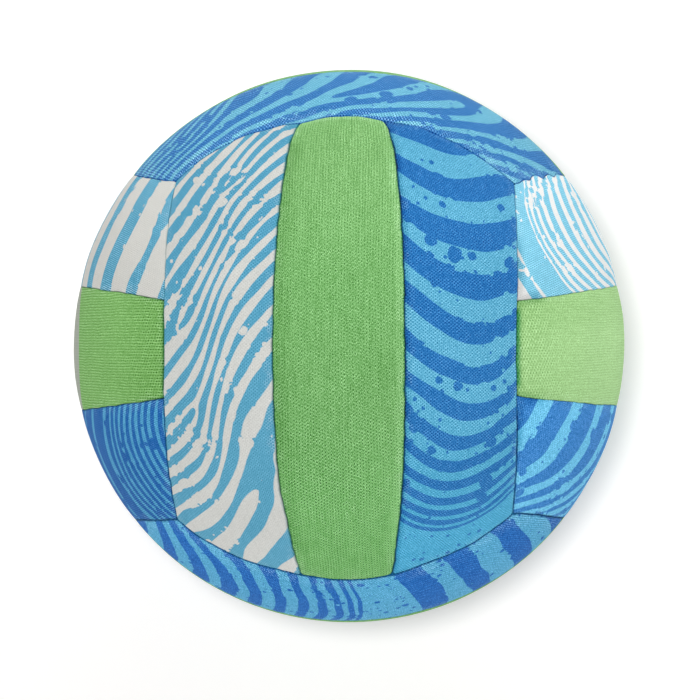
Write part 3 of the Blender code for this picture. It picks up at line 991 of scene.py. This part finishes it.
def dark_drops(u, v, inside, seed, biggest=2.9):
    """Drops of the dark blue in the light stripes."""
    busy = (smooth(grey(u, v, seed + 40, 24), 0.34, 0.50) - 1) * 2.2
    spots = most(drops(u, v, seed + 1, 7.5, 0.60, biggest) + busy, drops(u, v, seed + 2, 3.2, 0.45, 1.0) + busy * 0.5)
    specks = drops(u, v, seed + 3, 7.0, 0.12, 0.8)
    return least(most(inside, spots), 0.0 - specks)


def small_drops(u, v, inside, seed):
    return dark_drops(u, v, inside, seed, 1.3)


def thinning_drops(u, v, inside, seed):
    """Smaller towards the strip's lower end."""
    return dark_drops(u, v, inside, seed, smooth(v, -74, -52) * 2.0 + 0.9)


def fading_wear(u, v):
    """Sharper edges towards the strip's lower end."""
    return smooth(v, -66, -20) * 3.2


DROPS = {"front": small_drops, "top": thinning_drops}
WEAR = {"front": 2.0, "top": fading_wear, "left": 1.5}


def white_drops(u, v, inside, seed):
    """Bare drops near the edges of the inked stripes."""
    busy = (smooth(grey(u, v, seed + 40, 22), 0.42, 0.58) - 1) * 2.0 - smooth(inside, 2.0, 3.5) * 2.0
    spots = most(drops(u, v, seed + 1, 7.5, 0.45, 1.7) + busy, drops(u, v, seed + 2, 3.4, 0.30, 0.8) + busy * 0.5)
    return least(inside, 0.0 - spots)


def plain(colour):
    return lambda t, u, v: t.mix(grey(u, v, 90, 16, 2.0), colour, (*[c * 0.94 for c in colour[:3]], 1))


def changing(lower, colour, upper):
    """A plain strip whose green changes a little along the cloth."""
    low, mid, high = plain(lower), plain(colour), plain(upper)
    return lambda t, u, v: t.mix(smooth(v, 15, 80), t.mix(1 - smooth(v, -80, -15), mid(t, u, v), low(t, u, v)), high(t, u, v))


def block(u, v):
    """A plain printed block across the middle of the strip."""
    return smooth(32.6 - root(v * v + u * u * 0.85), -0.15, 0.15)


def with_block(ground):
    return lambda t, u, v: t.mix(block(u, v), ground(t, u, v), GREY_BLOCK)


def panel_material(key, number):
    group, tone = key.split("_")
    # some panels take colours painted paler or deeper by how the light falls on their side
    colours = SIDE_LIT_COLOURS.get(key, {"green": GREEN, "blue": BLUE, "white": WHITE}[tone])
    strength, shade = CREASES[tone]
    # the painted shade in the back strip's creases is bluer
    if key == "back_blue":
        shade = rgb(8, 84, 160)
    crease = strength * CREASE_SHARE.get(key, 1.0), shade, CREASE_REACH.get(key, 0.65), CREASE_GREENWARD.get(key, 1.0), CREASE_UPPER_END.get(key, 1.0), CREASE_SIDES.get(key, 1.0), CREASE_LOWER_END.get(key, 1.0)
    pulled = PULLED.get(key)
    lie = LIE.get(key, (1.0, 1.0))
    knit = KNITS.get(key, {"green": GREEN_KNIT, "blue": BLUE_KNIT, "white": WHITE_KNIT}[tone])
    name = f"cloth_{key}"
    if tone == "green":
        ground = changing(GREEN_LOWER, colours, GREEN_UPPER) if key == "top_green" else plain(colours)
        if key == "left_green":
            return cloth_material(name, knit, crease, with_block(ground), number, SPECK[tone], covered=block, pulled=pulled, lie=lie, shade=END_SHADE[key])
        return cloth_material(name, knit, crease, ground, number, SPECK[tone], pulled=pulled, lie=lie, painted_middle_light=PAINTED_MIDDLE_LIGHT.get(key, 0.0), shade=END_SHADE.get(key), lit=0.045 if key == "top_green" else 0.0, slants=SLANTS.get(key, (0.35, 0.85, 0.0)), sides=SIDES.get(key), dim=PAINTED_SEAM_SHADE.get(key), streak=0.11 if group in ("top", "bottom", "front", "back") else 0.05)
    if tone == "blue":
        rolled = group in ("back", "front")
        ground = printed(PRINTS[key], number, *colours, DROPS.get(group, dark_drops), WEAR.get(group, 3.2), 0.50 if key == "top_blue" else 0.0)
        return cloth_material(name, knit, crease, ground, number, SPECK[tone], 0.22 if rolled else 0.2, lie=lie, drift=PAINTED_LIGHT_SLOPE.get(key, 0.0), dim=PAINTED_SEAM_SHADE.get(key))
    ground = printed(PRINTS[key], number, *colours, white_drops, 2.4)
    cloth, ink = colours
    return cloth_material(name, knit, crease, ground, number, SPECK[tone], lie=lie, drift=PAINTED_LIGHT_SLOPE.get(key, 0.0), dim=PAINTED_SEAM_SHADE.get(key), inked=(INKED[key], ink[0], cloth[0]))


def rubber_material(name, colour, roughness):
    t = Tree(name)
    place = t.add("ShaderNodeTexCoord").outputs["Object"]
    mottle = t.grey(place, 1.1 * MM, 3)
    t.feed(t.shader.inputs["Base Color"], t.mix(mottle, colour, (*[c * 1.5 for c in colour[:3]], 1)))
    t.feed(t.shader.inputs["Roughness"], mottle * 0.2 + roughness)
    bump = t.add("ShaderNodeBump")
    bump.inputs["Strength"].default_value = 0.2
    bump.inputs["Distance"].default_value = 0.05 * MM
    t.feed(bump.inputs["Height"], t.grey(place, 0.33 * MM, 2))
    t.feed(t.shader.inputs["Normal"], bump.outputs[0])
    return t.material


def thread_material(name, colour):
    t = Tree(name)
    twist = t.add("ShaderNodeTexWave", wave_type="BANDS", bands_direction="DIAGONAL")
    t.feed(twist.inputs["Vector"], t.add("ShaderNodeTexCoord").outputs["Object"])
    twist.inputs["Scale"].default_value = 900
    t.feed(t.shader.inputs["Base Color"], t.mix(twist.outputs["Fac"], (*[c * 0.5 for c in colour[:3]], 1), colour))
    t.shader.inputs["Roughness"].default_value = 0.75
    return t.material


panels = {}
for group, (turn, blue_first) in GROUPS.items():
    first, second = ("blue", "white") if blue_first else ("white", "blue")
    for tone, strip, matrix, rounding in (
        (first, SIDE, turn, ROUND_SIDE),
        (second, SIDE, turn @ HALF_Z, ROUND_SIDE),
        ("green", MIDDLE, turn, ROUND_GREEN),
    ):
        key = f"{group}_{tone}"
        panel = build_panel(f"cover_{key}", strip, matrix, rounding, FOLD_R * TIGHT.get(group, 1.0))
        panel.data.materials.append(panel_material(key, 100 + 7 * len(panels)))
        panels[key] = panel

# the valve's hole in the front green panel
cutter_mesh = bpy.data.meshes.new("valve_hole_cutter")
bm = bmesh.new()
bmesh.ops.create_cone(
    bm, cap_ends=True, segments=64, radius1=6.0 * MM, radius2=6.0 * MM, depth=30 * MM,
    matrix=Matrix.Translation((0, -BALL_R, 0)) @ Matrix.Rotation(math.pi / 2, 4, "X"),
)
bm.to_mesh(cutter_mesh)
bm.free()
cutter = bpy.data.objects.new("valve_hole_cutter", cutter_mesh)
bpy.context.scene.collection.objects.link(cutter)
hole = panels["front_green"].modifiers.new("valve_hole", "BOOLEAN")
hole.operation, hole.solver, hole.object = "DIFFERENCE", "EXACT", cutter
bpy.context.view_layer.update()
cut = bpy.data.meshes.new_from_object(
    panels["front_green"].evaluated_get(bpy.context.evaluated_depsgraph_get())
)
panels["front_green"].modifiers.clear()
panels["front_green"].data = cut
bpy.data.objects.remove(cutter, do_unlink=True)

for key, panel in panels.items():
    tone = key.split("_")[1]
    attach(panel, "ball")
    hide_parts(f"panel_{key}")

THREAD = thread_material("seam_thread", rgb(40, 96, 140))
RUBBER = rubber_material("valve_rubber_satin", rgb(38, 40, 42), 0.5)
PLUG = rubber_material("plug_rubber_satin", rgb(60, 62, 64), 0.45)
for name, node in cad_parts.items():
    if name.startswith("panel_"):
        continue
    made = THREAD if name.startswith("thread_") else PLUG if name == "valve_plug" else RUBBER
    for slot in node.material_slots:
        slot.material = made
    if not node.material_slots:
        node.data.materials.append(made)

# --------------------------------------------------------- floor, light, lens
floor_mesh = bpy.data.meshes.new("floor")
bm = bmesh.new()
bmesh.ops.create_grid(bm, x_segments=8, y_segments=8, size=6, matrix=Matrix.Translation((0, 0, -BALL_R)))
bm.to_mesh(floor_mesh)
bm.free()
floor = bpy.data.objects.new("floor", floor_mesh)
bpy.context.scene.collection.objects.link(floor)
t = Tree("white_sweep")
t.shader.inputs["Base Color"].default_value = (0.95, 0.918, 0.90, 1)
t.shader.inputs["Emission Color"].default_value = (1, 1, 1, 1)
t.shader.inputs["Emission Strength"].default_value = 0.235     # a light table
t.shader.inputs["Roughness"].default_value = 0.9
t.shader.inputs["Specular IOR Level"].default_value = 0.1
floor_mesh.materials.append(t.material)


ZENITH, HORIZON, FRONT = 0.12, 1.6, 0.05


def area_light(name, azimuth, elevation, distance, size, power):
    """A round softbox looking at the ball, by its direction from it in degrees."""
    az, el = math.radians(azimuth), math.radians(elevation)
    place = Vector((math.cos(el) * math.cos(az), math.cos(el) * math.sin(az), math.sin(el))) * distance
    data = bpy.data.lights.new(name, "AREA")
    data.shape, data.size, data.energy = "DISK", size, power
    obj = bpy.data.objects.new(name, data)
    bpy.context.scene.collection.objects.link(obj)
    obj.location = place
    obj.rotation_euler = (-place).to_track_quat("-Z", "Y").to_euler()
    obj.visible_camera = False
    return obj


area_light("top_lamp", 121, 87.6, 1.1, 0.13, 6.8)
area_light("back_softbox", 80, 15, 1.6, 1.0, 9.4)

# a white studio: bright walls all round, darker overhead
world = bpy.data.worlds.new("studio")
bpy.context.scene.world = world
world.use_nodes = True
nodes, links = world.node_tree.nodes, world.node_tree.links
up = nodes.new("ShaderNodeSeparateXYZ")
links.new(nodes.new("ShaderNodeTexCoord").outputs["Generated"], up.inputs[0])
walls = nodes.new("ShaderNodeMapRange")
walls.inputs["From Min"].default_value, walls.inputs["From Max"].default_value = 1, 0
links.new(up.outputs["Z"], walls.inputs["Value"])
squared = nodes.new("ShaderNodeMath")
squared.operation = "POWER"
squared.inputs[1].default_value = 2
links.new(walls.outputs["Result"], squared.inputs[0])
level = nodes.new("ShaderNodeMapRange")
level.inputs["To Min"].default_value, level.inputs["To Max"].default_value = ZENITH, HORIZON
links.new(squared.outputs[0], level.inputs["Value"])
# and a little brighter at the front than at the back
front = nodes.new("ShaderNodeMapRange")
front.inputs["From Min"].default_value, front.inputs["From Max"].default_value = -1, 1
front.inputs["To Min"].default_value, front.inputs["To Max"].default_value = 1 + FRONT, 1 - FRONT
links.new(up.outputs["Y"], front.inputs["Value"])
studio = nodes.new("ShaderNodeMath")
studio.operation = "MULTIPLY"
links.new(level.outputs["Result"], studio.inputs[0])
links.new(front.outputs["Result"], studio.inputs[1])
links.new(studio.outputs[0], nodes["Background"].inputs["Strength"])
nodes["Background"].inputs["Color"].default_value = (1, 1, 1, 1)

bpy.context.scene.view_settings.view_transform = "Standard"
bpy.context.scene.view_settings.look = "None"

# camera straight above, a little off the top group's middle
TILT = Matrix.Rotation(math.radians(0.30), 3, "Z") @ Matrix.Rotation(math.radians(-1.94), 3, "Y") @ Matrix.Rotation(math.radians(0.62), 3, "X")
AWAY = 10.2               # camera distance in ball radii
camera_data = bpy.data.cameras.new("camera")
camera = bpy.data.objects.new("camera", camera_data)
bpy.context.scene.collection.objects.link(camera)
pose = TILT.transposed().to_4x4()
pose.translation = TILT.transposed() @ Vector((0, 0, AWAY * BALL_R))
camera.matrix_world = pose
camera_data.sensor_width = 36
camera_data.lens = 276.6 * math.sqrt(AWAY**2 - 1) / 700 * 36
camera_data.shift_x = 1.1 / 700
camera_data.shift_y = -3.8 / 700
camera_data.clip_start, camera_data.clip_end = 0.05, 50
bpy.context.scene.camera = camera
